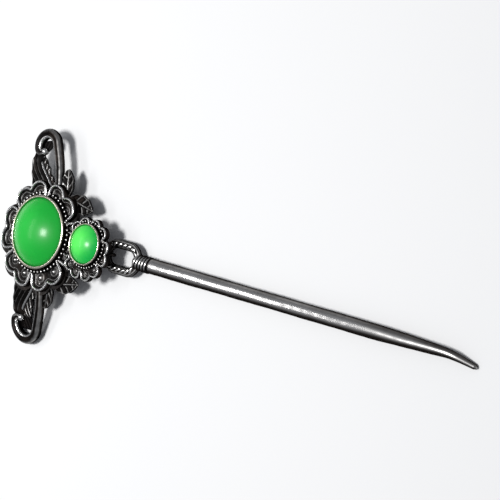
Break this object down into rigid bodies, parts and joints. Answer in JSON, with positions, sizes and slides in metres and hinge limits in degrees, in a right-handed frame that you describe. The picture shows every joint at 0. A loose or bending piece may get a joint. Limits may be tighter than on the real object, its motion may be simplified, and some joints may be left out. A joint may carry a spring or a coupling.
{
  "type": "decorative hair pin",
  "caption": "Antiqued silver hair stick with a jewelled flower-and-scroll head of green cabochons, linked to a forged, slightly bent pin by an eye and a jump link.",
  "frame": {"origin": "bottom centre of the whole pin's box as it lies face up, link straight", "axes": "+X along the stick from the head to the tip, +Y to the upper scroll, +Z out of the stones"},
  "size_m": [0.1462, 0.0567, 0.0109],
  "materials": {
    "antiqued_silver": "cast and stamped silver, blackened in the recesses and worn bright on the high edges",
    "blackened_silver": "dark oxidised silver, little rubbed",
    "polished_silver": "forged and hand-polished silver with fine scratches and tarnish",
    "bezel_silver": "thin burnished pale silver",
    "stone_foil": "bright foil",
    "large_green_stone": "waxy gloss, slightly cloudy green",
    "small_green_stone": "clear gloss bright green over foil"
  },
  "bodies": {
    "head": {"back_plate": "blackened_silver", "large_flower": "antiqued_silver", "small_flower": "antiqued_silver", "hanger_lug": "blackened_silver", "large_bezel_cup": "bezel_silver", "small_bezel_cup": "bezel_silver", "large_foil_disc": "stone_foil", "small_foil_disc": "stone_foil", "large_cabochon": "large_green_stone", "small_cabochon": "small_green_stone", "large_beaded_wire": "antiqued_silver", "small_beaded_wire": "antiqued_silver", "upper_scroll": "antiqued_silver", "lower_scroll": "antiqued_silver", "upper_scroll_leaf": "antiqued_silver", "lower_scroll_leaf": "antiqued_silver", "upper_inner_leaf": "antiqued_silver", "lower_inner_leaf": "antiqued_silver", "upper_outer_leaf": "antiqued_silver", "lower_outer_leaf": "antiqued_silver"},
    "link": {"link_ring": "blackened_silver"},
    "stick": {"pin_eye": "antiqued_silver", "eye_rope_wire": "antiqued_silver", "pin_collar_coil": "antiqued_silver", "pin_shank": "polished_silver"}
  },
  "joints": [
    {"name": "link_fold", "type": "hinge", "parent": "head", "child": "link", "pos_m": [-0.03845, 0, 0.00235], "axis": [0, 1, 0], "range_deg": [0, 100]},
    {"name": "stick_sway", "type": "hinge", "parent": "link", "child": "stick", "pos_m": [-0.03335, 0, 0.0022], "axis": [0, 0, 1], "range_deg": [-80, 80]}
  ]
}
